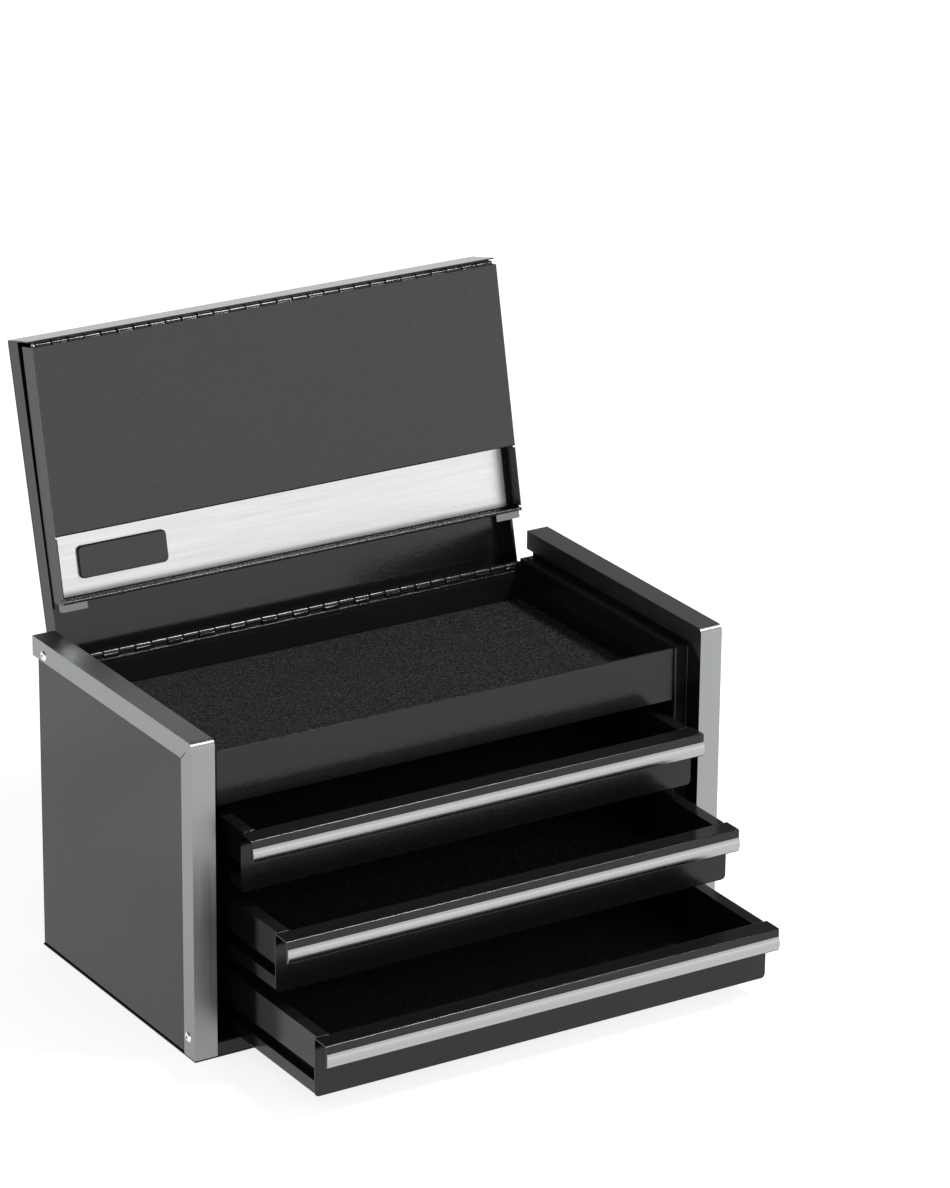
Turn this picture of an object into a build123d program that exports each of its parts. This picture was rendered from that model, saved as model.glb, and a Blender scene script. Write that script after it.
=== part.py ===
from build123d import *
from math import cos, radians, sin
import os

os.makedirs("parts", exist_ok=True)

# ---------------------------------------------------------------- driving dimensions (millimetres)
# The origin is on the floor, under the middle of the case. +X is to the right, +Y to the back.

# Case
chest_width = 390.0          # over the outer faces of the two edge trims
chest_depth = 209.2          # front face of the trims to their rear ends
chest_height = 215.0         # floor to the top of the trims
case_sheet = 1.0
base_sheet = 1.2             # bottom sheet, which the rest of the case stands on
case_bend = 1.2              # radius of a fold, along the middle of the sheet
back_setback = 5.8           # trims run this far past the back panel

# Edge trims
trim_sheet = 1.0
trim_face = 16.2             # width of the front and top faces
trim_band = 13.5             # width of the band on the chest's side
trim_flange = 13.0           # depth of the inner flange along the top
trim_flange_front = 22.5     # its depth at the front end
trim_flange_taper = 10.0
trim_corner = 4.0
trim_end_radius = 3.0
mitre_slit = (8.0, 0.6)      # length and width of the slit at the inner corner

# Rivets
rivet_head_radius = 3.5
rivet_head_height = 1.2
rivet_dome = (2.6, 0.85)     # a point of the head's dome: out from its axis, above the trim
rivet_shank_radius = 1.6
rivet_bore_radius = 0.9
rivet_length = 5.0
rivet_clearance = 0.05
rear_rivet = (15.2, 8.8)     # in from the trim's rear end, down from its top
front_rivet = (8.4, 14.8)    # back from the trim's front face, up from the floor

# Posts, rims, base rail
post_width = 9.3             # visible face of a post beside the trim
rim_drop = 15.8              # rims under the top of the trims
rail_height = 11.0

# Top tray
tray_sheet = 0.8
tray_below_rim = 0.7
tray_front_depth = 35.7      # height of the tray's front wall
tray_floor_rise = 4.0        # floor above the front wall's bottom edge
tray_front_gap = 0.9         # between the tray's front wall and each post
tray_hem = 6.0
tray_mat_thickness = 4.6
bead_radius = 1.2
bead_drop = 14.3             # bead under the tray's top
bead_inset = 50.0            # bead's front end behind the tray's front wall
bead_rear_inset = 21.5       # bead's rear end before the back panel

# Piano hinges
knuckle_count = 29
knuckle_radius = 2.5
knuckle_gap = 0.8            # between one knuckle and the next
pin_radius = 1.25
pin_clearance = 0.05
pin_head_radius = 2.0
pin_head_length = 0.6
leaf_sheet = 0.8
leaf_reach = 14.0            # hinge axis to the leaf's far edge

# Lid
lid_sheet = 0.8
lid_bend = 1.2
lid_side_gap = 4.9           # lid to the inner face of each trim
lid_below_trim = 1.0         # top of the shut lid under the top of the trims
lid_overhang = 1.8           # front of the shut lid before the trims' front face
lid_front_depth = 29.5
lid_rear_depth = 20.5        # top of the lid to the rear hinge axis
lid_hem = 6.0
lid_open = 103.8             # degrees from shut to the rear stop, which is the photographed pose

# Front panel
panel_sheet = 0.8
panel_bend = 0.8
panel_inset = 0.9            # panel's side inside the lid's side
panel_above_rail = 6.1       # bottom of the shut panel over the base rail
panel_side_depth = 15.0
recess_height = 44.3         # step of the recess to the panel's bottom
recess_margin = 1.5          # back of the recess before the side flanges' edges
seam_gap = 0.4
lip_roll_radius = 1.2
relief = (3.0, 1.2)          # depth and width of the corner reliefs in the side flanges
panel_fold = 91.4            # degrees from shut to folded under the lid
band_sheet = 0.5
band_side_margin = 3.8       # band's end to the panel's side
band_top_margin = 1.9
band_bottom_margin = 2.4
badge_size = (64.8, 21.4)
badge_inset = 48.2           # badge's middle from the band's left end
badge_drop = 21.0            # badge's middle below the step of the recess
badge_thickness = 2.0
badge_corner = 3.5
badge_bevel = 0.7
magnet_length = 18.0
magnet_depth = 5.0
magnet_rail_gap = 1.1        # magnets of the shut panel over the base rail
magnet_inset = 9.4           # magnet's middle in from the panel's side
magnet_setback = 5.7         # magnet's middle behind the panel's face

# Drawers
drawer_out = (40.2, 82.7, 130.0)  # how far each drawer is out at rest, from the top down
drawer_spacing = 10.8        # bottom of one drawer to the top of the next
drawer_sheet = 0.8
drawer_bend = 0.8
front_side_gap = 2.9         # front plate to each liner
front_corner = 3.0
lip_depth = 14.0             # pull lip to the front plate
lip_height = 15.0
box_side_gap = 5.0           # drawer box to each liner
wall_width = 8.5             # over the folded double side wall
back_wall_drop = 3.0         # top of the back wall under the sides
slot_rise = 8.9              # slot above the drawer's bottom
slot_height = 8.5
slot_depth = 7.0
strip_inset = 0.2
strip_height = 8.9
strip_proud = 1.7
strip_drop = 5.4
strip_sheet = 0.8
drawer_mat_thickness = 3.0
mat_corner = 2.0

# Clearances
running_gap = 0.3            # between pieces that move past each other
soft_gap = 0.3               # round a foam mat
post_gap = 2.8               # shut panel's side flanges to the posts
drawer_panel_gap = 1.6       # shut panel's side flanges to the drawers' pull strips
drawer_back_gap = 3.1        # shut drawer to the back panel
top_drawer_gap = 9.2         # tray's front wall to the upper drawer
bottom_drawer_gap = 1.0      # lower drawer to the base rail
tray_back_drop = 2.2         # top of the tray's back wall under the back panel's top
runner_start_gap = 1.0       # shut drawer's front plate to the end of the runners
pin_end_gap = 0.9            # panel's side flanges to the ends of the hinge pins

# ---------------------------------------------------------------- derived places
half_width = chest_width / 2
front = -chest_depth / 2
rear = chest_depth / 2
back_face = rear - back_setback
back_inner = back_face - case_sheet
skin_inner = half_width - trim_sheet - case_sheet
trim_inner = half_width - trim_face
return_x = trim_inner + trim_sheet + case_sheet / 2
liner_face = trim_inner - post_width
rim_height = chest_height - rim_drop
lid_top = chest_height - lid_below_trim
post_setback = panel_side_depth - lid_overhang + post_gap

tray_top = rim_height - tray_below_rim
tray_front_bottom = tray_top - tray_front_depth
tray_floor = tray_front_bottom + tray_floor_rise

lid_half_width = trim_inner - lid_side_gap
panel_half_width = lid_half_width - panel_inset
band_half_width = panel_half_width - band_side_margin
hinge_half = panel_half_width - panel_sheet - pin_end_gap - pin_head_length - running_gap
knuckle_pitch = 2 * hinge_half / knuckle_count
knuckle_length = knuckle_pitch - knuckle_gap
knuckle_bore = pin_radius + pin_clearance
hinge_setback = knuckle_radius + running_gap
leaf_offset = hinge_setback - leaf_sheet / 2

rear_axis_y = back_face + hinge_setback
rear_axis_height = lid_top - lid_rear_depth
back_panel_height = rear_axis_height - hinge_setback
front_axis_y = front - lid_overhang + lid_sheet + hinge_setback
front_axis_height = lid_top - lid_front_depth

panel_face_y = -hinge_setback - lid_sheet
panel_length = front_axis_height - seam_gap - rail_height - panel_above_rail
panel_bottom = -seam_gap - panel_length
step_z = panel_bottom + recess_height
recess_back_y = panel_face_y + panel_side_depth - recess_margin
magnet_height = panel_above_rail - magnet_rail_gap

# The open lid stops where its rear flange meets the case leaf, and the folded panel stops where its side
# flanges meet those of the lid, each with the running gap left.
rear_flange_y = hinge_setback + lid_sheet
stop_y = hinge_setback - leaf_sheet - running_gap
lid_rear_lap = (rear_flange_y * cos(radians(lid_open)) + stop_y) / sin(radians(lid_open))
flange_edge_y = panel_face_y + panel_side_depth
folded_edge = flange_edge_y * sin(radians(panel_fold)) + panel_bottom * cos(radians(panel_fold))
lid_side_depth = lid_front_depth - folded_edge - running_gap

drawer_top = tray_front_bottom - top_drawer_gap
drawer_stack = drawer_top - rail_height - bottom_drawer_gap
drawer_pitch = (drawer_stack + drawer_spacing) / len(drawer_out)
drawer_height = drawer_pitch - drawer_spacing
drawer_setback = panel_side_depth - lid_overhang + drawer_panel_gap + strip_proud
front_half_width = liner_face - front_side_gap
strip_half_width = front_half_width - strip_inset
box_half_width = liner_face - box_side_gap
box_front = lip_depth + drawer_sheet
box_length = back_inner - drawer_back_gap - front - drawer_setback - box_front
slot_bottom = drawer_height - slot_rise
slot_top = slot_bottom - slot_height

# Each moving body is drawn about its own origin, as it stands when the chest is shut, and its place
# carries it to the photographed pose.
lid_place = Location((0, rear_axis_y, rear_axis_height), (-lid_open, 0, 0))
front_axis_in_lid = Location((0, front_axis_y - rear_axis_y, front_axis_height - rear_axis_height))
lid_front_axis_place = lid_place * front_axis_in_lid
panel_place = lid_front_axis_place * Location((0, 0, 0), (panel_fold, 0, 0))


def on(place, plane):
    """A sketch plane of a body, given in that body's own frame."""
    return Plane(place * plane.location)


def folded_section(plane, points, sheet, bend):
    """Section of a folded sheet; the points run along the middle of its thickness."""
    with BuildSketch(plane) as section:
        with BuildLine():
            FilletPolyline(*points, radius=bend)
        trace(line_width=sheet)
    return section.sketch


def plate_section(plane, low, high):
    """Rectangle between two opposite corners."""
    with BuildSketch(plane) as section:
        with Locations(((low[0] + high[0]) / 2, (low[1] + high[1]) / 2)):
            Rectangle(high[0] - low[0], high[1] - low[1])
    return section.sketch


# ---------------------------------------------------------------- case sheets
def base_pan():
    """Bottom sheet, out to the faces of the trims that stand on it."""
    with BuildPart() as pan:
        outline = plate_section(Plane.XY, (-half_width, front), (half_width, back_face))
        extrude(outline, amount=base_sheet)
    return pan


def base_rail():
    """Folded rail across the front, from trim to trim and back to the posts."""
    middle = case_sheet / 2
    points = (
        (front + middle, base_sheet),
        (front + middle, rail_height - middle),
        (front + post_setback - middle, rail_height - middle),
        (front + post_setback - middle, base_sheet),
    )
    with BuildPart() as rail:
        extrude(folded_section(Plane.YZ, points, case_sheet, case_bend), amount=trim_inner, both=True)
    return rail


def side_panel(side):
    """Outer skin with a front and a top flange behind the trim."""
    skin_plane = Plane.YZ.offset(side * (skin_inner + case_sheet / 2))
    flange_inner = return_x + case_sheet / 2
    flange_middle = (flange_inner + skin_inner) / 2
    flange_half = (skin_inner - flange_inner) / 2
    skin_front = front + trim_sheet
    skin_top = chest_height - trim_sheet
    below_corner = chest_height - trim_corner
    with BuildPart() as panel:
        with BuildSketch(skin_plane):
            with BuildLine():
                Polyline(
                    (skin_front, base_sheet),
                    (skin_front, below_corner),
                    (front + trim_corner, skin_top),
                    (back_inner, skin_top),
                    (back_inner, base_sheet),
                    close=True,
                )
            make_face()
        extrude(amount=case_sheet / 2, both=True)
        flange_plane = Plane.YZ.offset(side * flange_middle)
        front_flange_high = (skin_front + case_sheet, below_corner)
        extrude(
            plate_section(flange_plane, (skin_front, base_sheet), front_flange_high),
            amount=flange_half,
            both=True,
        )
        top_flange_low = (front + trim_corner, skin_top - case_sheet)
        extrude(
            plate_section(flange_plane, top_flange_low, (back_inner, skin_top)),
            amount=flange_half,
            both=True,
        )
        with Locations(*rivet_places(side, skin_inner)):
            Cylinder(rivet_shank_radius + rivet_clearance, 3 * case_sheet, mode=Mode.SUBTRACT)
    return panel


def inner_wall(side):
    """Front return, post and liner in one folded sheet, with the rim beside the tray."""
    middle = case_sheet / 2
    points = (
        (side * return_x, front + trim_sheet),
        (side * return_x, front + post_setback + middle),
        (side * (liner_face + middle), front + post_setback + middle),
        (side * (liner_face + middle), back_inner),
    )
    rim_bottom = rim_height - case_sheet
    with BuildPart() as wall:
        section = folded_section(Plane.XY.offset(base_sheet), points, case_sheet, case_bend)
        extrude(section, amount=rim_bottom - base_sheet)
        rim_plane = Plane.YZ.offset(side * (liner_face + return_x + middle) / 2)
        extrude(
            plate_section(rim_plane, (front + post_setback, rim_bottom), (back_inner, rim_height)),
            amount=(return_x + middle - liner_face) / 2,
            both=True,
        )
        upstand_low = (front + trim_corner, rim_bottom)
        upstand_high = (back_inner, chest_height - trim_sheet - case_sheet)
        extrude(
            plate_section(Plane.YZ.offset(side * return_x), upstand_low, upstand_high),
            amount=middle,
            both=True,
        )
    return wall


def back_panel():
    """Back wall, low between the sides for the hinge, and full height behind each trim."""
    ear_inner = return_x - case_sheet / 2
    outer = skin_inner + case_sheet
    ear_top = chest_height - trim_sheet
    with BuildPart() as panel:
        with BuildSketch(Plane.XZ.offset(-back_face)):
            with BuildLine():
                Polyline(
                    (-outer, base_sheet),
                    (outer, base_sheet),
                    (outer, ear_top),
                    (ear_inner, ear_top),
                    (ear_inner, back_panel_height),
                    (-ear_inner, back_panel_height),
                    (-ear_inner, ear_top),
                    (-outer, ear_top),
                    close=True,
                )
            make_face()
        extrude(amount=case_sheet)
    return panel


# ---------------------------------------------------------------- edge trims and rivets
def rivet_places(side, x):
    """Rivet centres on one side, each with its axis across the chest."""
    heights = (
        (rear - rear_rivet[0], chest_height - rear_rivet[1]),
        (front + front_rivet[0], front_rivet[1]),
    )
    return [Location((side * x, y, z), (0, side * 90, 0)) for y, z in heights]


def edge_trim(side):
    """Bright edging: side band, front and top face, and inner flange along the top."""
    middle = trim_sheet / 2
    inner_corner = (front + trim_band, chest_height - trim_band)
    with BuildPart() as trim:
        with BuildSketch(Plane.YZ.offset(side * (half_width - middle))):
            with BuildLine():
                Polyline(
                    (front, base_sheet),
                    (front, chest_height),
                    (rear, chest_height),
                    (rear, chest_height - trim_band),
                    inner_corner,
                    (front + trim_band, base_sheet),
                    close=True,
                )
            band = make_face()
            top_front = band.vertices().group_by(Axis.Y)[-1].sort_by(Axis.X)[0]
            fillet(top_front, radius=trim_corner)
            rear_low = band.vertices().group_by(Axis.X)[-1].sort_by(Axis.Y)[0]
            fillet(rear_low, radius=trim_end_radius)
            with Locations(Location((*inner_corner, 0), 135)):
                Rectangle(2 * mitre_slit[0], mitre_slit[1], mode=Mode.SUBTRACT)
        extrude(amount=middle, both=True)
        path = (
            (front + middle, base_sheet),
            (front + middle, chest_height - middle),
            (rear, chest_height - middle),
        )
        face_plane = Plane.YZ.offset(side * (half_width - trim_face / 2))
        extrude(
            folded_section(face_plane, path, trim_sheet, trim_corner - middle),
            amount=trim_face / 2,
            both=True,
        )
        with BuildSketch(Plane.YZ.offset(side * (trim_inner + middle))):
            with BuildLine():
                Polyline(
                    (front + middle, chest_height - trim_corner),
                    (front + trim_corner, chest_height - middle),
                    (rear, chest_height - middle),
                    (rear, chest_height - trim_flange),
                    (front + trim_flange_taper, chest_height - trim_flange),
                    (front + middle, chest_height - trim_flange_front),
                    close=True,
                )
            make_face()
        extrude(amount=middle, both=True)
        with Locations(*rivet_places(side, half_width)):
            Cylinder(rivet_shank_radius + rivet_clearance, 3 * trim_sheet, mode=Mode.SUBTRACT)
    return trim


def trim_rivets():
    """Blind rivets that hold the trims to the side panels."""
    with BuildPart() as rivets:
        for side in (-1, 1):
            for place in rivet_places(side, half_width):
                with BuildSketch(on(place, Plane.XZ)):
                    with BuildLine():
                        Polyline(
                            (rivet_bore_radius, rivet_head_height),
                            (rivet_bore_radius, -rivet_length),
                            (rivet_shank_radius, -rivet_length),
                            (rivet_shank_radius, 0),
                            (rivet_head_radius, 0),
                        )
                        ThreePointArc(
                            (rivet_head_radius, 0),
                            rivet_dome,
                            (rivet_bore_radius, rivet_head_height),
                        )
                    make_face()
                axis_direction = Vector(side, 0, 0)
                revolve(axis=Axis(place.position, axis_direction))
    return rivets


# ---------------------------------------------------------------- top tray
def tray_pan():
    """Open pan that hangs between the liners, with a deeper front wall."""
    front_wall = front + post_setback + running_gap
    back_outer = back_inner - tray_sheet
    floor_top = tray_floor + tray_sheet
    with BuildPart() as tray:
        wall_low = (front_wall, tray_front_bottom)
        wall_high = (front_wall + tray_sheet, tray_top)
        front_half = liner_face - tray_front_gap
        extrude(plate_section(Plane.YZ, wall_low, wall_high), amount=front_half, both=True)
        hem_low = (front_wall + tray_sheet, tray_top - tray_hem)
        hem_high = (front_wall + 2 * tray_sheet, tray_top)
        extrude(plate_section(Plane.YZ, hem_low, hem_high), amount=front_half - tray_sheet, both=True)
        floor_section = plate_section(Plane.YZ, (front_wall, tray_floor), (back_outer, floor_top))
        extrude(floor_section, amount=front_half, both=True)
        behind_post = front + post_setback + case_sheet + case_bend
        for side in (-1, 1):
            wall_plane = Plane.YZ.offset(side * (liner_face - tray_sheet / 2))
            side_section = plate_section(wall_plane, (behind_post, tray_floor), (back_outer, tray_top))
            extrude(side_section, amount=tray_sheet / 2, both=True)
            edge_plane = Plane.YZ.offset(side * (liner_face - tray_front_gap / 2))
            edge_section = plate_section(edge_plane, (behind_post, tray_floor), (back_outer, floor_top))
            extrude(edge_section, amount=tray_front_gap / 2, both=True)
            bead_front = front_wall + bead_inset
            bead_length = back_inner - bead_rear_inset - bead_front
            bead_x = side * (liner_face - tray_sheet)
            bead_middle = (bead_x, bead_front + bead_length / 2, tray_top - bead_drop)
            bead_place = Location(bead_middle, (90, 0, 0))
            with Locations(bead_place):
                Cylinder(bead_radius, bead_length)
        back_low = (back_outer - tray_sheet, tray_floor)
        back_high = (back_outer, back_panel_height - tray_back_drop)
        extrude(plate_section(Plane.YZ, back_low, back_high), amount=front_half, both=True)
        for side in (-1, 1):
            beyond = plate_section(
                Plane.YZ.offset(side * (liner_face + bead_radius)), (front, tray_floor), (rear, tray_top)
            )
            extrude(beyond, amount=bead_radius, both=True, mode=Mode.SUBTRACT)
    return tray


def tray_mat():
    """Foam sheet on the tray's floor."""
    half = liner_face - tray_sheet - soft_gap
    mat_front = front + post_setback + running_gap + tray_sheet + soft_gap
    mat_back = back_inner - 2 * tray_sheet - soft_gap
    with BuildPart() as mat:
        with BuildSketch(Plane.XY.offset(tray_floor + tray_sheet)):
            with Locations((0, (mat_front + mat_back) / 2)):
                RectangleRounded(2 * half, mat_back - mat_front, mat_corner)
        extrude(amount=tray_mat_thickness)
    return mat


# ---------------------------------------------------------------- drawer runners
def drawer_top_height(number):
    """Height of a drawer's top; drawer 0 is the uppermost."""
    return drawer_top - number * drawer_pitch


def drawer_runners(side):
    """Channels on the liner, one in the side slot of each drawer."""
    runner_inner = box_half_width - slot_depth + running_gap
    runner_front = front + drawer_setback + box_front + runner_start_gap
    runner_height = slot_height - 2 * running_gap
    with BuildPart() as runners:
        for number in range(len(drawer_out)):
            high = drawer_top_height(number) - slot_top - running_gap
            low = high - runner_height
            with BuildSketch(Plane.XZ.offset(-runner_front)):
                with Locations((side * (runner_inner + liner_face) / 2, (low + high) / 2)):
                    Rectangle(liner_face - runner_inner, runner_height)
                hollow = liner_face - runner_inner - case_sheet
                with Locations((side * (liner_face - hollow / 2), (low + high) / 2)):
                    Rectangle(hollow, runner_height - 2 * case_sheet, mode=Mode.SUBTRACT)
            extrude(amount=-(back_inner - runner_front))
    return runners


# ---------------------------------------------------------------- piano hinges
def hinge_leaf(place, first, offset, way):
    """Leaf with every second knuckle; way is 1 for a leaf above the axis and -1 for one below it."""
    with BuildPart() as leaf:
        plate_plane = on(place, Plane.XY.offset(way * hinge_setback))
        plate_low = (-hinge_half, offset - leaf_sheet / 2)
        plate = plate_section(plate_plane, plate_low, (hinge_half, offset + leaf_sheet / 2))
        extrude(plate, amount=way * (leaf_reach - hinge_setback))
        for number in range(first, knuckle_count, 2):
            x = (number + 0.5) * knuckle_pitch - hinge_half
            knuckle_plane = on(place, Plane.YZ.offset(x))
            with BuildSketch(knuckle_plane):
                Circle(knuckle_radius)
                web_height = hinge_setback - running_gap
                with Locations((offset, way * (running_gap + web_height / 2))):
                    Rectangle(leaf_sheet, web_height)
                Circle(knuckle_bore, mode=Mode.SUBTRACT)
            extrude(amount=knuckle_length / 2, both=True)
    return leaf


def hinge_pin(place):
    """Pin through all the knuckles, with a head at each end."""
    head_middle = hinge_half + running_gap + pin_head_length / 2
    with BuildPart() as pin:
        with BuildSketch(on(place, Plane.YZ)):
            Circle(pin_radius)
        extrude(amount=head_middle, both=True)
        for side in (-1, 1):
            with BuildSketch(on(place, Plane.YZ.offset(side * head_middle))):
                Circle(pin_head_radius)
            extrude(amount=pin_head_length / 2, both=True)
    return pin


# ---------------------------------------------------------------- lid
def lid_shell():
    """Top sheet with front, rear and side flanges, drawn about the rear hinge axis."""
    middle = lid_sheet / 2
    face_y = front - lid_overhang - rear_axis_y
    top = lid_top - rear_axis_height
    points = (
        (face_y + middle, top - lid_front_depth),
        (face_y + middle, top - middle),
        (rear_flange_y - middle, top - middle),
        (rear_flange_y - middle, -lid_rear_lap),
    )
    with BuildPart() as shell:
        section = folded_section(on(lid_place, Plane.YZ), points, lid_sheet, lid_bend)
        extrude(section, amount=lid_half_width, both=True)
        for side in (-1, 1):
            flange_plane = on(lid_place, Plane.YZ.offset(side * (lid_half_width - middle)))
            flange_low = (face_y + middle, top - lid_side_depth)
            flange_high = (rear_flange_y - middle, top - lid_bend)
            extrude(plate_section(flange_plane, flange_low, flange_high), amount=middle, both=True)
            hem_plane = on(lid_place, Plane.YZ.offset(side * (lid_half_width - lid_sheet - middle)))
            hem_low = (face_y + lid_bend, top - lid_side_depth)
            hem_high = (rear_flange_y - lid_bend, top - lid_side_depth + lid_hem)
            extrude(plate_section(hem_plane, hem_low, hem_high), amount=middle, both=True)
    return shell


# ---------------------------------------------------------------- front panel
def panel_shell():
    """Face, step, recess and bottom lip in one folded sheet, with side flanges and a rolled lip."""
    middle = panel_sheet / 2
    points = (
        (panel_face_y + middle, -seam_gap),
        (panel_face_y + middle, step_z + middle),
        (recess_back_y + middle, step_z + middle),
        (recess_back_y + middle, panel_bottom + middle),
        (panel_face_y + lip_roll_radius, panel_bottom + middle),
    )
    with BuildPart() as shell:
        section = folded_section(on(panel_place, Plane.YZ), points, panel_sheet, panel_bend)
        extrude(section, amount=panel_half_width, both=True)
        with BuildSketch(on(panel_place, Plane.YZ)):
            with Locations((panel_face_y + lip_roll_radius, panel_bottom + lip_roll_radius)):
                Circle(lip_roll_radius)
        extrude(amount=panel_half_width - panel_sheet, both=True)
        for side in (-1, 1):
            with BuildSketch(on(panel_place, Plane.YZ.offset(side * (panel_half_width - middle)))):
                with Locations((panel_face_y + panel_side_depth / 2, (panel_bottom - seam_gap) / 2)):
                    Rectangle(panel_side_depth, panel_length)
                for z in (step_z, panel_bottom + 2 * lip_roll_radius + relief[1]):
                    with Locations((panel_face_y + relief[0] / 2, z - relief[1] / 2)):
                        Rectangle(*relief, mode=Mode.SUBTRACT)
            extrude(amount=middle, both=True)
    return shell


def bright_band():
    """Bright strip on the back of the recess."""
    low = (recess_back_y - band_sheet, panel_bottom + band_bottom_margin)
    high = (recess_back_y, step_z - band_top_margin)
    with BuildPart() as band:
        section = plate_section(on(panel_place, Plane.YZ), low, high)
        extrude(section, amount=band_half_width, both=True)
    return band


def front_normal():
    """Direction in which the panel's face looks, at rest."""
    angle = radians(panel_fold - lid_open)
    return Vector(0, -cos(angle), -sin(angle))


def badge():
    """Bare raised plate near the left end of the band."""
    back = recess_back_y - band_sheet
    with BuildPart() as plate:
        with BuildSketch(on(panel_place, Plane.XZ.offset(-back))):
            with Locations((badge_inset - band_half_width, step_z - badge_drop)):
                RectangleRounded(*badge_size, badge_corner)
        extrude(amount=badge_thickness)
        towards_front = Axis(panel_place.position, front_normal())
        face = plate.faces().filter_by(GeomType.PLANE).sort_by(towards_front)[-1]
        chamfer(face.edges(), length=badge_bevel)
    return plate


def magnets():
    """Pair of bar magnets under the panel's lip, which hold it to the base rail."""
    with BuildPart() as pair:
        with BuildSketch(on(panel_place, Plane.XY.offset(panel_bottom))):
            x = panel_half_width - magnet_inset
            with Locations(*[(side * x, panel_face_y + magnet_setback) for side in (-1, 1)]):
                Rectangle(magnet_length, magnet_depth)
        extrude(amount=-magnet_height)
    return pair


# ---------------------------------------------------------------- drawers
def drawer_place(number):
    """Origin of a drawer at rest: middle of its pull lip's front, at its top."""
    lip_front = front + drawer_setback - drawer_out[number]
    return Location((0, lip_front, drawer_top_height(number)))


def drawer_box(place):
    """Floor, back and double side walls, each with a slot for its runner."""
    box_back = box_front + box_length
    floor_top = -drawer_height + drawer_sheet
    with BuildPart() as box:
        floor_section = plate_section(
            on(place, Plane.YZ), (box_front, -drawer_height), (box_back, floor_top)
        )
        extrude(floor_section, amount=box_half_width - drawer_sheet / 2, both=True)
        back_low = (box_back - drawer_sheet, -drawer_height)
        back_section = plate_section(on(place, Plane.YZ), back_low, (box_back, -back_wall_drop))
        extrude(back_section, amount=box_half_width - wall_width, both=True)
        for side in (-1, 1):
            with BuildSketch(on(place, Plane.XZ.offset(-box_front))):
                wall_middle = side * (box_half_width - wall_width / 2)
                with Locations((wall_middle, -drawer_height / 2)):
                    Rectangle(wall_width, drawer_height)
                hollow_width = wall_width - 2 * drawer_sheet
                for top, bottom in ((0, slot_top), (slot_bottom, drawer_height)):
                    with Locations((wall_middle, -(top + bottom) / 2)):
                        Rectangle(hollow_width, bottom - top - 2 * drawer_sheet, mode=Mode.SUBTRACT)
                with Locations((side * (box_half_width - slot_depth / 2), -(slot_top + slot_bottom) / 2)):
                    Rectangle(slot_depth, slot_height, mode=Mode.SUBTRACT)
            extrude(amount=-box_length)
    return box


def drawer_front(place):
    """Front plate, turned forward at the top into a pull lip."""
    middle = drawer_sheet / 2
    plate_middle = lip_depth + middle
    bend_drop = drawer_sheet + drawer_bend
    points = ((plate_middle, -bend_drop), (plate_middle, -middle), (middle, -middle), (middle, -lip_height))
    with BuildPart() as front_plate:
        section = folded_section(on(place, Plane.YZ), points, drawer_sheet, drawer_bend)
        extrude(section, amount=front_half_width, both=True)
        with BuildSketch(on(place, Plane.XZ.offset(-lip_depth))):
            with Locations((0, -(drawer_height + bend_drop) / 2)):
                plate = Rectangle(2 * front_half_width, drawer_height - bend_drop)
            fillet(plate.vertices().group_by(Axis.Y)[0], radius=front_corner)
        extrude(amount=-drawer_sheet)
    return front_plate


def pull_strip(place):
    """Rounded bright strip on the front of the pull lip."""
    bottom = -strip_drop - strip_height
    inner_height = strip_height - 2 * strip_sheet
    with BuildPart() as strip:
        with BuildSketch(on(place, Plane.YZ)):
            with BuildLine():
                Polyline((0, -strip_drop), (0, bottom), (-strip_sheet / 2, bottom))
                ThreePointArc(
                    (-strip_sheet / 2, bottom),
                    (-strip_proud, -strip_drop - strip_height / 2),
                    (-strip_sheet / 2, -strip_drop),
                )
                Line((-strip_sheet / 2, -strip_drop), (0, -strip_drop))
            make_face()
            with Locations((-strip_sheet / 4, -strip_drop - strip_height / 2)):
                Rectangle(strip_sheet / 2, inner_height, mode=Mode.SUBTRACT)
        extrude(amount=strip_half_width, both=True)
    return strip


def drawer_mat(place):
    """Foam sheet on the drawer's floor."""
    half = box_half_width - wall_width - soft_gap
    mat_front = box_front + soft_gap
    mat_back = box_front + box_length - drawer_sheet - soft_gap
    with BuildPart() as mat:
        with BuildSketch(on(place, Plane.XY.offset(drawer_sheet - drawer_height))):
            with Locations((0, (mat_front + mat_back) / 2)):
                RectangleRounded(2 * half, mat_back - mat_front, mat_corner)
        extrude(amount=drawer_mat_thickness)
    return mat


# ---------------------------------------------------------------- write the pieces
rear_hinge_place = Location((0, rear_axis_y, rear_axis_height))

pieces = {
    "base_pan": base_pan(),
    "base_rail": base_rail(),
    "left_side_panel": side_panel(-1),
    "right_side_panel": side_panel(1),
    "left_inner_wall": inner_wall(-1),
    "right_inner_wall": inner_wall(1),
    "back_panel": back_panel(),
    "left_edge_trim": edge_trim(-1),
    "right_edge_trim": edge_trim(1),
    "trim_rivets": trim_rivets(),
    "tray_pan": tray_pan(),
    "tray_mat": tray_mat(),
    "left_drawer_runners": drawer_runners(-1),
    "right_drawer_runners": drawer_runners(1),
    "rear_hinge_case_leaf": hinge_leaf(rear_hinge_place, 0, -leaf_offset, -1),
    "rear_hinge_pin": hinge_pin(rear_hinge_place),
    "lid_shell": lid_shell(),
    "rear_hinge_lid_leaf": hinge_leaf(lid_place, 1, leaf_offset, 1),
    "front_hinge_lid_leaf": hinge_leaf(lid_front_axis_place, 0, -leaf_offset, 1),
    "front_hinge_pin": hinge_pin(lid_front_axis_place),
    "front_panel": panel_shell(),
    "bright_band": bright_band(),
    "badge_plate": badge(),
    "panel_magnets": magnets(),
    "front_hinge_panel_leaf": hinge_leaf(panel_place, 1, -leaf_offset, -1),
}
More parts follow.
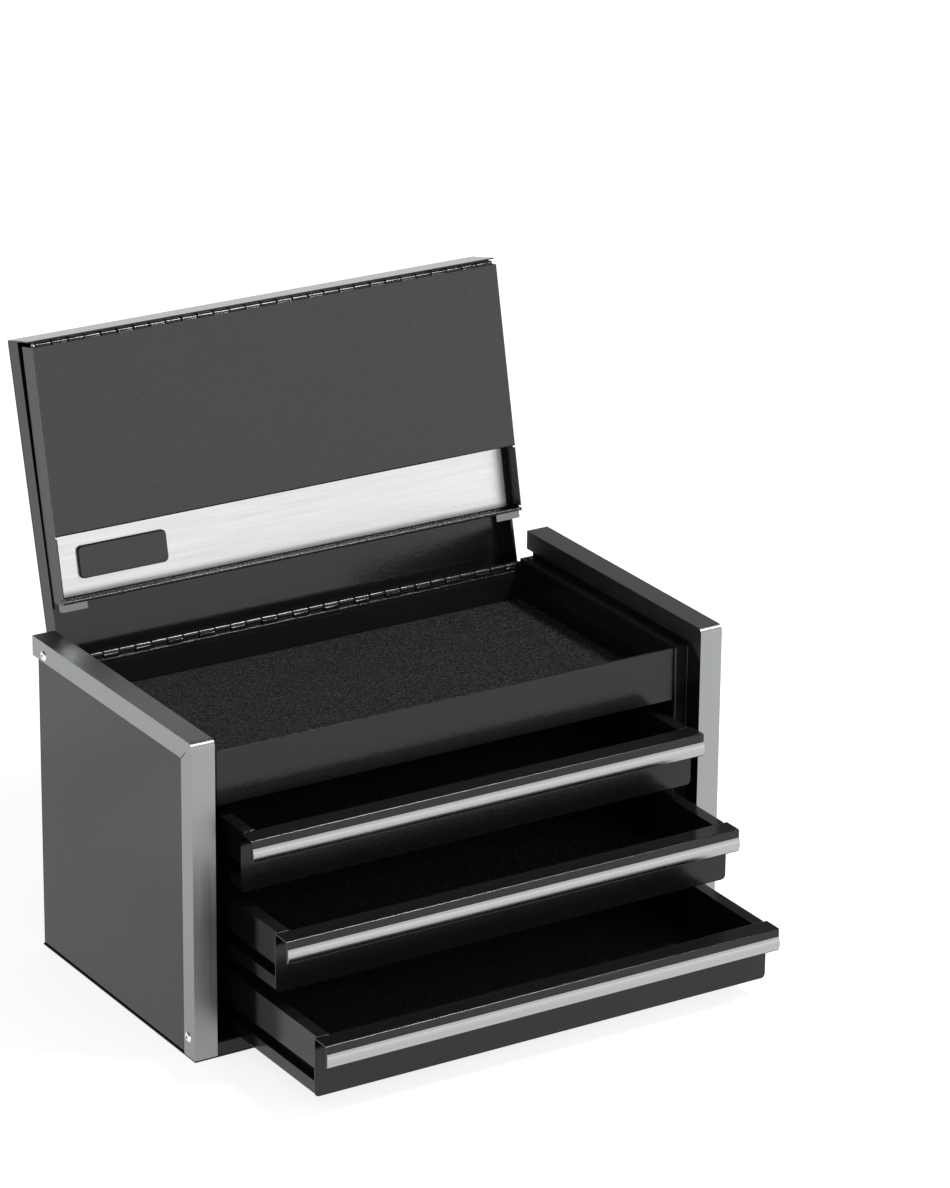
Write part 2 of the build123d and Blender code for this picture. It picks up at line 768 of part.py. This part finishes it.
for number, name in enumerate(("upper", "middle", "lower")):
    place = drawer_place(number)
    pieces[name + "_drawer_box"] = drawer_box(place)
    pieces[name + "_drawer_front"] = drawer_front(place)
    pieces[name + "_pull_strip"] = pull_strip(place)
    pieces[name + "_drawer_mat"] = drawer_mat(place)

for name, piece in pieces.items():
    piece.part.label = name
    export_step(piece.part, "parts/" + name + ".step")
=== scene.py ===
"""Looks of a machinist tool chest, laid out as a Blender add-on and run as a script.

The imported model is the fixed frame. The sheet metal keeps its own shapes and gets its finishes here,
the foam mats are modelled as cut foam sheets, and the stage gives the floor, the soft light and the
camera.
"""

from math import cos, radians, sin

import bmesh
import bpy
from mathutils import Matrix, Vector, noise


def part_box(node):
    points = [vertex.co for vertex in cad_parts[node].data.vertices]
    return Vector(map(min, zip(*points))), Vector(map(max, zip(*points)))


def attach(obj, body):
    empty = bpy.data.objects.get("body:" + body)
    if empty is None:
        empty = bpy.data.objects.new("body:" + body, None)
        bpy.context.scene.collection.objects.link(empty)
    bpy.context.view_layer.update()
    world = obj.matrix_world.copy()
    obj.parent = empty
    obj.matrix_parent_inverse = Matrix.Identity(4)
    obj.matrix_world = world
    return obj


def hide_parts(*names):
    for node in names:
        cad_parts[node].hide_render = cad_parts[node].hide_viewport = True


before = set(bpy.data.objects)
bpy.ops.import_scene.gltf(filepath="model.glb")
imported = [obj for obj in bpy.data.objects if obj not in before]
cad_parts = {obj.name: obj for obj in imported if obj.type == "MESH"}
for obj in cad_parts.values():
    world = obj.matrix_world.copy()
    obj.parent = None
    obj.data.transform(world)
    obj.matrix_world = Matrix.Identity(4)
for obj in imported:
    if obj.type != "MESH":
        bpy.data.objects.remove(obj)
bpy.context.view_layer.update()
MM = 0.001

bl_info = {
    "name": "Machinist tool chest",
    "version": (1, 0, 0),
    "blender": (4, 5, 0),
    "location": "3D View > Sidebar > Tool chest",
    "description": "Finishes, foam mats and stage for a small machinist tool chest",
    "category": "Object",
}

DRAWERS = ("upper", "middle", "lower")
SHEET_METAL = (
    "base_pan",
    "base_rail",
    "left_side_panel",
    "right_side_panel",
    "left_inner_wall",
    "right_inner_wall",
    "back_panel",
    "tray_pan",
    "left_drawer_runners",
    "right_drawer_runners",
    "rear_hinge_case_leaf",
    "rear_hinge_lid_leaf",
    "lid_shell",
    "front_hinge_lid_leaf",
    "front_hinge_panel_leaf",
    "front_panel",
    *(drawer + "_drawer_" + part for drawer in DRAWERS for part in ("box", "front")),
)

# Radius of a coated sheet's sheared edge and of a trim's edge, and the angle from which both are rounded
SHEET_EDGE = 0.35 * MM
TRIM_EDGE = 0.4 * MM
SHARP_EDGE = radians(50)

# Axes along which metal is brushed
ACROSS, UPRIGHT = 0, 2

# Colour sockets of a mix node, and the values that a noise texture mostly lies between
COLOUR_A, COLOUR_B, COLOUR_OUT = 6, 7, 2
NOISE_LOW, NOISE_HIGH = 0.3, 0.7

# Size of the soft patches in the coat's and in the badge's colour
COAT_PATCHES = 40 * MM
BADGE_PATCHES = 15 * MM

# How far the roughness of coated and of brushed metal strays, and how much longer than wide a streak is
COAT_UNEVENNESS = 0.03
BRUSH_UNEVENNESS = 0.06
STREAK_STRETCH = 60

# Noise values between which the foam goes from its dark cells to its pale specks, and their shades
SPECKS_START, SPECKS_FULL = 0.48, 0.64
DARK_CELL, PALE_SPECK = 0.6, 3.6

# Layers of noise to a metre of height, for the waves of the mats
LAYERS_PER_METRE = 37.0

# Soft boxes: width and height, place, and the point that each one looks at, in metres
FRONT_SOFT_BOX = {"size": (3.6, 2.4), "place": (1.2, -3.0, 1.05), "target": (0.0, 0.0, 0.25)}
TOP_SOFT_BOX = {"size": (0.5, 0.4), "place": (1.2, -1.0, 2.4), "target": (0.0, 0.0, 0.2)}

# Upward share of a direction at which the white backdrop starts to fade, and at which it has gone
BACKDROP_FADES, BACKDROP_ENDS = -0.02, 0.32


# ---------------------------------------------------------------- colours and nodes
def srgb(hex_colour):
    """Linear RGB of a colour written as an sRGB hex value."""
    channels = [int(hex_colour[i : i + 2], 16) / 255 for i in (1, 3, 5)]
    return [c / 12.92 if c <= 0.04045 else ((c + 0.055) / 1.055) ** 2.4 for c in channels]


def colour_property(hex_colour, name, description):
    """A colour that a user can change, given as an sRGB hex value."""
    return bpy.props.FloatVectorProperty(
        name=name,
        description=description,
        subtype="COLOR",
        size=3,
        min=0.0,
        max=1.0,
        default=srgb(hex_colour),
    )


def length_property(millimetres, name, description):
    """A length that a user can change, in metres, with its default given in millimetres."""
    return bpy.props.FloatProperty(
        name=name, description=description, default=millimetres * MM, unit="LENGTH", precision=4
    )


def add_node(tree, kind, settings=None, links=None):
    """Add a node with its settings (socket or attribute names) and its input links."""
    node = tree.nodes.new(kind)
    for name, value in (settings or {}).items():
        if name in node.inputs:
            node.inputs[name].default_value = value
        else:
            setattr(node, name, value)
    for name, socket in (links or {}).items():
        tree.links.new(socket, node.inputs[name])
    return node


def new_material(name, **sockets):
    """A material with a Principled shader, its constants set on the shader's own sockets."""
    material = bpy.data.materials.new(name)
    material.use_nodes = True
    shader = material.node_tree.nodes["Principled BSDF"]
    for socket, value in sockets.items():
        shader.inputs[socket.replace("_", " ")].default_value = value
    return material, material.node_tree, shader


def rgba(colour):
    """Colour with full opacity, as a shader socket takes it."""
    return (*colour, 1.0)


def shade(colour, factor):
    """The colour made lighter or darker."""
    return tuple(min(1.0, c * factor) for c in colour)


def mottle(tree, coordinates, size, low, high):
    """Soft variation between two colours, with spots of about the given size in metres."""
    spots = add_node(
        tree, "ShaderNodeTexNoise", {"Scale": 1.0 / size, "Detail": 2.0}, {"Vector": coordinates}
    )
    blend = add_node(
        tree,
        "ShaderNodeMapRange",
        {"From Min": NOISE_LOW, "From Max": NOISE_HIGH},
        {"Value": spots.outputs["Fac"]},
    )
    mix = add_node(tree, "ShaderNodeMix", {"data_type": "RGBA"}, {"Factor": blend.outputs["Result"]})
    mix.inputs[COLOUR_A].default_value = rgba(low)
    mix.inputs[COLOUR_B].default_value = rgba(high)
    return mix.outputs[COLOUR_OUT]


# ---------------------------------------------------------------- materials
def powder_coated_steel(finish, name, peel_depth, roughness, reflectance):
    """Sheet steel, sprayed with black polyester powder and baked.

    The powder flows to a satin skin whose fine waves, the orange peel, break up what it reflects.
    """
    material, tree, shader = new_material(name, IOR=1.5, Specular_IOR_Level=reflectance)
    place = add_node(tree, "ShaderNodeTexCoord").outputs["Object"]
    colour = mottle(tree, place, COAT_PATCHES, shade(finish.coat, 0.94), shade(finish.coat, 1.06))
    tree.links.new(colour, shader.inputs["Base Color"])
    peel = add_node(
        tree, "ShaderNodeTexNoise", {"Scale": 1.0 / finish.peel_size, "Detail": 2.5}, {"Vector": place}
    ).outputs["Fac"]
    bump = add_node(
        tree, "ShaderNodeBump", {"Strength": 0.6, "Distance": peel_depth}, {"Height": peel}
    )
    tree.links.new(bump.outputs["Normal"], shader.inputs["Normal"])
    gloss = add_node(
        tree,
        "ShaderNodeMapRange",
        {
            "From Min": NOISE_LOW,
            "From Max": NOISE_HIGH,
            "To Min": roughness - COAT_UNEVENNESS,
            "To Max": roughness + COAT_UNEVENNESS,
        },
        {"Value": peel},
    )
    tree.links.new(gloss.outputs["Result"], shader.inputs["Roughness"])
    return material


def brushed_metal(name, colour, along, band_width, roughness):
    """Metal brushed with a belt along one axis: fine streaks lie over broader soft bands of gloss."""
    material, tree, shader = new_material(name, Metallic=1.0)
    place = add_node(tree, "ShaderNodeTexCoord").outputs["Object"]
    stretch = [1.0 / band_width] * 3
    stretch[along] = 1.0 / (STREAK_STRETCH * band_width)
    stretched = add_node(tree, "ShaderNodeMapping", {"Scale": stretch}, {"Vector": place})
    streaks = add_node(
        tree,
        "ShaderNodeTexNoise",
        {"Scale": 1.0, "Detail": 5.0, "Roughness": 0.65},
        {"Vector": stretched.outputs["Vector"]},
    ).outputs["Fac"]
    mix = add_node(tree, "ShaderNodeMix", {"data_type": "RGBA"}, {"Factor": streaks})
    mix.inputs[COLOUR_A].default_value = rgba(shade(colour, 0.9))
    mix.inputs[COLOUR_B].default_value = rgba(shade(colour, 1.1))
    tree.links.new(mix.outputs[COLOUR_OUT], shader.inputs["Base Color"])
    gloss = add_node(
        tree,
        "ShaderNodeMapRange",
        {
            "From Min": NOISE_LOW,
            "From Max": NOISE_HIGH,
            "To Min": roughness - BRUSH_UNEVENNESS,
            "To Max": roughness + BRUSH_UNEVENNESS,
        },
        {"Value": streaks},
    )
    tree.links.new(gloss.outputs["Result"], shader.inputs["Roughness"])
    bump = add_node(
        tree, "ShaderNodeBump", {"Strength": 0.3, "Distance": 0.05 * MM}, {"Height": streaks}
    )
    tree.links.new(bump.outputs["Normal"], shader.inputs["Normal"])
    return material


def foam_sheet(finish):
    """Closed-cell foam, skived from a block: the cut cells leave it matt, near black and speckled."""
    material, tree, shader = new_material("skived_closed_cell_foam", Roughness=0.95, IOR=1.4)
    place = add_node(tree, "ShaderNodeTexCoord").outputs["Object"]
    cells = add_node(
        tree, "ShaderNodeTexVoronoi", {"Scale": 1.0 / finish.foam_cell}, {"Vector": place}
    )
    specks = add_node(
        tree,
        "ShaderNodeTexNoise",
        {"Scale": 0.7 / finish.foam_cell, "Detail": 3.0},
        {"Vector": place},
    )
    ramp = add_node(
        tree,
        "ShaderNodeMapRange",
        {"From Min": SPECKS_START, "From Max": SPECKS_FULL},
        {"Value": specks.outputs["Fac"]},
    )
    mix = add_node(tree, "ShaderNodeMix", {"data_type": "RGBA"}, {"Factor": ramp.outputs["Result"]})
    mix.inputs[COLOUR_A].default_value = rgba(shade(finish.foam, DARK_CELL))
    mix.inputs[COLOUR_B].default_value = rgba(shade(finish.foam, PALE_SPECK))
    tree.links.new(mix.outputs[COLOUR_OUT], shader.inputs["Base Color"])
    bump = add_node(
        tree,
        "ShaderNodeBump",
        {"Strength": 0.6, "Distance": 0.3 * MM},
        {"Height": cells.outputs["Distance"]},
    )
    tree.links.new(bump.outputs["Normal"], shader.inputs["Normal"])
    return material


def moulded_badge(finish):
    """ABS, injection moulded in a polished tool: an even black with a soft gloss."""
    material, tree, shader = new_material("moulded_abs", Roughness=0.32, IOR=1.53)
    place = add_node(tree, "ShaderNodeTexCoord").outputs["Object"]
    colour = mottle(tree, place, BADGE_PATCHES, shade(finish.badge, 0.96), shade(finish.badge, 1.04))
    tree.links.new(colour, shader.inputs["Base Color"])
    return material


# ---------------------------------------------------------------- properties
class ToolChestFinish(bpy.types.PropertyGroup):
    """Colours and surface sizes."""

    coat: colour_property("#1A1A1C", "Powder coat", "Colour of the coated sheet steel")
    trim: colour_property("#959797", "Edge trim", "Colour of the satin edge trims")
    strip: colour_property("#A6A8A7", "Pull strips", "Colour of the strips on the drawers' lips")
    band: colour_property("#CBCDCC", "Band", "Colour of the bright band in the panel's recess")
    rivet: colour_property("#F1F2F0", "Rivets", "Colour of the blind rivets")
    magnet: colour_property("#6A6B68", "Magnets", "Colour of the nickel-plated magnets")
    pin: colour_property("#8A8C8E", "Hinge pins", "Colour of the steel hinge pins")
    badge: colour_property("#161718", "Badge plate", "Colour of the bare badge plate")
    foam: colour_property("#20201F", "Foam", "Colour of the foam mats")
    peel_size: length_property(2.3, "Orange peel", "Spacing of the waves in the powder coat")
    # Real waves are a few hundredths of a millimetre deep, and need more depth to show at this distance.
    peel_depth: length_property(0.32, "Peel depth", "Depth of the waves on the textured sheet")
    grain: length_property(4.0, "Brush bands", "Width of the soft bands that brushing leaves")
    # Real cells are about half as wide, too fine to show, and are drawn as coarse as they need to be.
    foam_cell: length_property(0.9, "Foam cells", "Size of the foam's cells")


class ToolChestMats(bpy.types.PropertyGroup):
    """Sizes of the foam mats."""

    edge: length_property(0.8, "Edge", "Rounding of the cut edge")
    step: length_property(4.0, "Mesh step", "Spacing of the mesh points")
    wave: length_property(0.7, "Wave", "How far the sheet's top dips between its high places")
    wave_length: length_property(70.0, "Wave length", "Distance between high places")


class ToolChestStage(bpy.types.PropertyGroup):
    """Camera, floor and light."""

    azimuth: bpy.props.FloatProperty(
        name="Azimuth",
        description="Camera angle round the chest",
        default=radians(-32.12),
        subtype="ANGLE",
    )
    elevation: bpy.props.FloatProperty(
        name="Elevation",
        description="Camera angle above the floor",
        default=radians(21.75),
        subtype="ANGLE",
    )
    roll: bpy.props.FloatProperty(
        name="Roll", description="Tilt of the picture", default=radians(0.59), subtype="ANGLE"
    )
    eye: bpy.props.FloatVectorProperty(
        name="Eye",
        description="Place of the camera",
        default=(-1.6410, -2.7394, 1.4855),
        subtype="TRANSLATION",
        unit="LENGTH",
    )
    lens: bpy.props.FloatProperty(
        name="Lens", description="Focal length in millimetres on a 36 mm wide frame", default=203.2
    )
    shift: bpy.props.FloatVectorProperty(
        name="Shift",
        description="Picture shift, as a share of its width",
        size=2,
        default=(-0.008, 0.044),
    )
    floor_size: length_property(40000.0, "Floor", "Side of the square floor")
    paper: colour_property("#BEBEBD", "Paper", "Colour of the floor's paper")
    key_power: bpy.props.FloatProperty(
        name="Key", description="Front soft box", default=28.0, unit="POWER"
    )
    top_power: bpy.props.FloatProperty(
        name="Top", description="Overhead soft box", default=42.0, unit="POWER"
    )
    sky: bpy.props.FloatProperty(name="Sky", description="Light from all round", default=0.36)
    ceiling: bpy.props.FloatProperty(
        name="Ceiling", description="How bright the room is above the white backdrop", default=0.1
    )
    floor_lift: bpy.props.FloatProperty(
        name="Floor lift",
        description="White added to the floor where it is seen directly",
        default=0.82,
    )


# ---------------------------------------------------------------- helpers for the frame's own nodes
def finish_node(name, material):
    """Give a node of the frame its finish; its mesh stays as it is."""
    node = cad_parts[name]
    for slot in node.material_slots:
        slot.link = "OBJECT"
        slot.material = material


def bevel_sharp_edges(piece, radius):
    """Round a piece's sharp edges with a modifier."""
    bevel = piece.modifiers.new("edge", "BEVEL")
    bevel.width = radius
    bevel.segments = 2
    bevel.limit_method = "ANGLE"
    bevel.angle_limit = SHARP_EDGE


def round_edges(name, radius):
    """Round a node's sheared sheet edges, so that they catch the light as coated edges do."""
    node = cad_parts[name]
    weld = node.modifiers.new("weld", "WELD")
    weld.merge_threshold = 0.001 * MM
    bevel_sharp_edges(node, radius)
    normals = node.modifiers.new("flat faces", "WEIGHTED_NORMAL")
    normals.weight = 100


def mesh_object(name, builder):
    """Object from a bmesh, smooth shaded."""
    mesh = bpy.data.meshes.new(name)
    builder.to_mesh(mesh)
    builder.free()
    for polygon in mesh.polygons:
        polygon.use_smooth = True
    piece = bpy.data.objects.new(name, mesh)
    bpy.context.scene.collection.objects.link(piece)
    return piece


# ---------------------------------------------------------------- operators
class TOOLCHEST_OT_sheet_metal(bpy.types.Operator):
    """Powder coat on the case, lid, panel, drawers, runners and hinge leaves"""

    bl_idname = "toolchest.sheet_metal"
    bl_label = "Coat the sheet metal"

    def execute(self, context):
        finish = context.scene.toolchest_finish
        textured = powder_coated_steel(
            finish, "textured_powder_coat", finish.peel_depth, roughness=0.27, reflectance=0.5
        )
        smooth = powder_coated_steel(
            finish, "smooth_powder_coat", finish.peel_depth / 4, roughness=0.15, reflectance=0.34
        )
        for name in SHEET_METAL:
            finish_node(name, textured if name == "front_panel" else smooth)
            # The trims cover the side panels' edges, and a drawer front's lip is a bend of its own.
            if not name.endswith(("side_panel", "drawer_front")):
                round_edges(name, SHEET_EDGE)
        return {"FINISHED"}


class TOOLCHEST_OT_bright_parts(bpy.types.Operator):
    """Satin trims, pull strips and band, bright rivets, magnets and pins, and the badge plate"""

    bl_idname = "toolchest.bright_parts"
    bl_label = "Finish the bright parts"

    def execute(self, context):
        finish = context.scene.toolchest_finish
        grain = finish.grain
        # Anodising dulls the brushed aluminium to a satin grey.
        trim = brushed_metal("brushed_anodised_trim", finish.trim, UPRIGHT, grain, roughness=0.38)
        # Bare brushed aluminium keeps clear highlights along each lip.
        strip = brushed_metal("brushed_aluminium_strip", finish.strip, ACROSS, grain / 2, roughness=0.28)
        # Fine belt marks leave the stainless sheet pale and even, with faint streaks.
        band = brushed_metal("satin_stainless_band", finish.band, ACROSS, grain / 4, roughness=0.36)
        # The set heads are smooth and catch small, sharp glints.
        rivet = brushed_metal("rolled_aluminium_rivet", finish.rivet, ACROSS, grain, roughness=0.15)
        # Nickel plate is darker and warmer than the aluminium.
        magnet = brushed_metal("nickel_plated_magnet", finish.magnet, ACROSS, grain, roughness=0.25)
        # Drawn wire has a dull shine between the coated knuckles.
        steel = brushed_metal("drawn_steel_pin", finish.pin, ACROSS, grain, roughness=0.35)
        for name in ("left_edge_trim", "right_edge_trim"):
            finish_node(name, trim)
            round_edges(name, TRIM_EDGE)
        for drawer in DRAWERS:
            finish_node(drawer + "_pull_strip", strip)
        finish_node("bright_band", band)
        finish_node("trim_rivets", rivet)
        finish_node("panel_magnets", magnet)
        finish_node("rear_hinge_pin", steel)
        finish_node("front_hinge_pin", steel)
        finish_node("badge_plate", moulded_badge(finish))
        return {"FINISHED"}


def foam_mat(name, low, high, mats):
    """Cut foam sheet inside the box from low to high, with a rounded edge and a slightly wavy top."""
    builder = bmesh.new()
    width, depth = high.x - low.x, high.y - low.y
    columns = max(2, round(width / mats.step))
    rows = max(2, round(depth / mats.step))
    # The height picks the noise's layer, so that no two mats have the same waves.
    layer = Vector((0.0, 0.0, low.z * LAYERS_PER_METRE))
    grid = []
    for row in range(rows + 1):
        line = []
        for column in range(columns + 1):
            x = low.x + width * column / columns
            y = low.y + depth * row / rows
            sample = Vector((x, y, 0.0)) / mats.wave_length + layer
            dip = mats.wave * (0.5 + 0.5 * noise.noise(sample))
            line.append(builder.verts.new((x, y, high.z - dip)))
        grid.append(line)
    for near, far in zip(grid, grid[1:]):
        for column in range(columns):
            builder.faces.new((near[column], near[column + 1], far[column + 1], far[column]))
    rim = [edge for edge in builder.edges if edge.is_boundary]
    skirt = bmesh.ops.extrude_edge_only(builder, edges=rim)["geom"]
    for vertex in (item for item in skirt if isinstance(item, bmesh.types.BMVert)):
        vertex.co.z = low.z
    underside = [edge for edge in builder.edges if edge.is_boundary]
    bmesh.ops.contextual_create(builder, geom=underside)
    bmesh.ops.recalc_face_normals(builder, faces=builder.faces)
    piece = mesh_object(name, builder)
    bevel_sharp_edges(piece, mats.edge)
    return piece


class TOOLCHEST_OT_foam_mats(bpy.types.Operator):
    """Foam mats in the tray and the drawers"""

    bl_idname = "toolchest.foam_mats"
    bl_label = "Lay the foam mats"

    def execute(self, context):
        scene = context.scene
        foam = foam_sheet(scene.toolchest_finish)
        places = [("tray_mat", "case")] + [(d + "_drawer_mat", d + "_drawer") for d in DRAWERS]
        for node, body in places:
            low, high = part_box(node)
            mat = foam_mat(node + "_foam", low, high, scene.toolchest_mats)
            mat.data.materials.append(foam)
            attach(mat, body)
            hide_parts(node)
        return {"FINISHED"}


def camera_rotation(stage):
    """Rotation that looks at the chest from the azimuth and elevation, with the picture's roll."""
    back = Vector(
        (
            sin(stage.azimuth) * cos(stage.elevation),
            -cos(stage.azimuth) * cos(stage.elevation),
            sin(stage.elevation),
        )
    )
    right = Vector((0, 0, 1)).cross(back).normalized()
    up = back.cross(right)
    turned_right = right * cos(stage.roll) + up * sin(stage.roll)
    turned_up = up * cos(stage.roll) - right * sin(stage.roll)
    return Matrix((turned_right, turned_up, back)).transposed()


def area_light(name, power, size, place, target):
    """Rectangular soft light that looks at a target."""
    data = bpy.data.lights.new(name, "AREA")
    data.energy = power
    data.shape = "RECTANGLE"
    data.size, data.size_y = size
    light = bpy.data.objects.new(name, data)
    light.location = place
    light.rotation_euler = (Vector(place) - Vector(target)).to_track_quat("Z", "Y").to_euler()
    bpy.context.scene.collection.objects.link(light)


def seen_directly(tree):
    """1 for camera, glossy and transmission rays, 0 for the rays that light the scene."""
    path = add_node(tree, "ShaderNodeLightPath")
    either = add_node(tree, "ShaderNodeMath", {"operation": "MAXIMUM"})
    tree.links.new(path.outputs["Is Camera Ray"], either.inputs[0])
    tree.links.new(path.outputs["Is Glossy Ray"], either.inputs[1])
    any_of = add_node(tree, "ShaderNodeMath", {"operation": "MAXIMUM"})
    tree.links.new(either.outputs["Value"], any_of.inputs[0])
    tree.links.new(path.outputs["Is Transmission Ray"], any_of.inputs[1])
    return any_of.outputs["Value"]


class TOOLCHEST_OT_stage(bpy.types.Operator):
    """Pale floor, soft studio light and the camera"""

    bl_idname = "toolchest.stage"
    bl_label = "Set the stage"

    def execute(self, context):
        stage = context.scene.toolchest_stage
        self.floor(stage)
        self.world(context.scene, stage)
        area_light("front_soft_box", stage.key_power, **FRONT_SOFT_BOX)
        area_light("top_soft_box", stage.top_power, **TOP_SOFT_BOX)
        self.camera(context.scene, stage)
        context.scene.view_settings.view_transform = "Standard"
        return {"FINISHED"}

    def floor(self, stage):
        """White sweep: lit like paper, and lifted to white where it is seen directly."""
        builder = bmesh.new()
        bmesh.ops.create_grid(builder, x_segments=2, y_segments=2, size=stage.floor_size / 2)
        floor = mesh_object("floor", builder)
        material, tree, shader = new_material("white_paper_sweep", Roughness=0.9)
        shader.inputs["Base Color"].default_value = rgba(stage.paper)
        shader.inputs["Emission Color"].default_value = (1.0, 1.0, 1.0, 1.0)
        lift = add_node(tree, "ShaderNodeMath", {"operation": "MULTIPLY"})
        tree.links.new(seen_directly(tree), lift.inputs[0])
        lift.inputs[1].default_value = stage.floor_lift
        tree.links.new(lift.outputs["Value"], shader.inputs["Emission Strength"])
        floor.data.materials.append(material)

    def world(self, scene, stage):
        """White where it is seen, and a softer even light elsewhere."""
        world = bpy.data.worlds.new("studio")
        world.use_nodes = True
        tree = world.node_tree
        background = tree.nodes["Background"]
        background.inputs["Color"].default_value = (1.0, 1.0, 1.0, 1.0)
        direction = add_node(tree, "ShaderNodeTexCoord").outputs["Generated"]
        height = add_node(tree, "ShaderNodeSeparateXYZ", links={"Vector": direction}).outputs["Z"]
        backdrop = add_node(
            tree,
            "ShaderNodeMapRange",
            {
                "From Min": BACKDROP_FADES,
                "From Max": BACKDROP_ENDS,
                "To Min": 1.0,
                "To Max": stage.ceiling,
            },
            {"Value": height},
        )
        strength = add_node(tree, "ShaderNodeMix", {"A": stage.sky})
        tree.links.new(seen_directly(tree), strength.inputs["Factor"])
        tree.links.new(backdrop.outputs["Result"], strength.inputs["B"])
        tree.links.new(strength.outputs["Result"], background.inputs["Strength"])
        scene.world = world

    def camera(self, scene, stage):
        """Camera at the photograph's angle."""
        data = bpy.data.cameras.new("camera")
        data.sensor_fit = "HORIZONTAL"
        data.sensor_width = 36.0
        data.lens = stage.lens
        data.shift_x, data.shift_y = stage.shift
        data.clip_end = 100.0
        camera = bpy.data.objects.new("camera", data)
        camera.matrix_world = Matrix.Translation(stage.eye) @ camera_rotation(stage).to_4x4()
        scene.collection.objects.link(camera)
        scene.camera = camera


class TOOLCHEST_PT_panel(bpy.types.Panel):
    """Sidebar panel that lists the sizes, the colours and the steps"""

    bl_idname = "TOOLCHEST_PT_panel"
    bl_label = "Tool chest"
    bl_space_type = "VIEW_3D"
    bl_region_type = "UI"
    bl_category = "Tool chest"

    def draw(self, context):
        layout = self.layout
        for group in PROPERTY_GROUPS:
            settings = getattr(context.scene, group)
            for name in settings.__annotations__:
                layout.prop(settings, name)
        for operator in OPERATORS:
            layout.operator(operator.bl_idname)


# ---------------------------------------------------------------- registration
OPERATORS = (
    TOOLCHEST_OT_sheet_metal,
    TOOLCHEST_OT_bright_parts,
    TOOLCHEST_OT_foam_mats,
    TOOLCHEST_OT_stage,
)
PROPERTY_GROUPS = {
    "toolchest_finish": ToolChestFinish,
    "toolchest_mats": ToolChestMats,
    "toolchest_stage": ToolChestStage,
}


def register():
    """Register the property groups, operators and panel."""
    for name, group in PROPERTY_GROUPS.items():
        bpy.utils.register_class(group)
        setattr(bpy.types.Scene, name, bpy.props.PointerProperty(type=group))
    for operator in OPERATORS:
        bpy.utils.register_class(operator)
    bpy.utils.register_class(TOOLCHEST_PT_panel)


def unregister():
    """Take out what register put in."""
    bpy.utils.unregister_class(TOOLCHEST_PT_panel)
    for operator in reversed(OPERATORS):
        bpy.utils.unregister_class(operator)
    for name, group in PROPERTY_GROUPS.items():
        delattr(bpy.types.Scene, name)
        bpy.utils.unregister_class(group)


def main():
    """Run every step in order."""
    register()
    bpy.ops.toolchest.stage()
    bpy.ops.toolchest.sheet_metal()
    bpy.ops.toolchest.bright_parts()
    bpy.ops.toolchest.foam_mats()


if __name__ == "__main__":
    main()
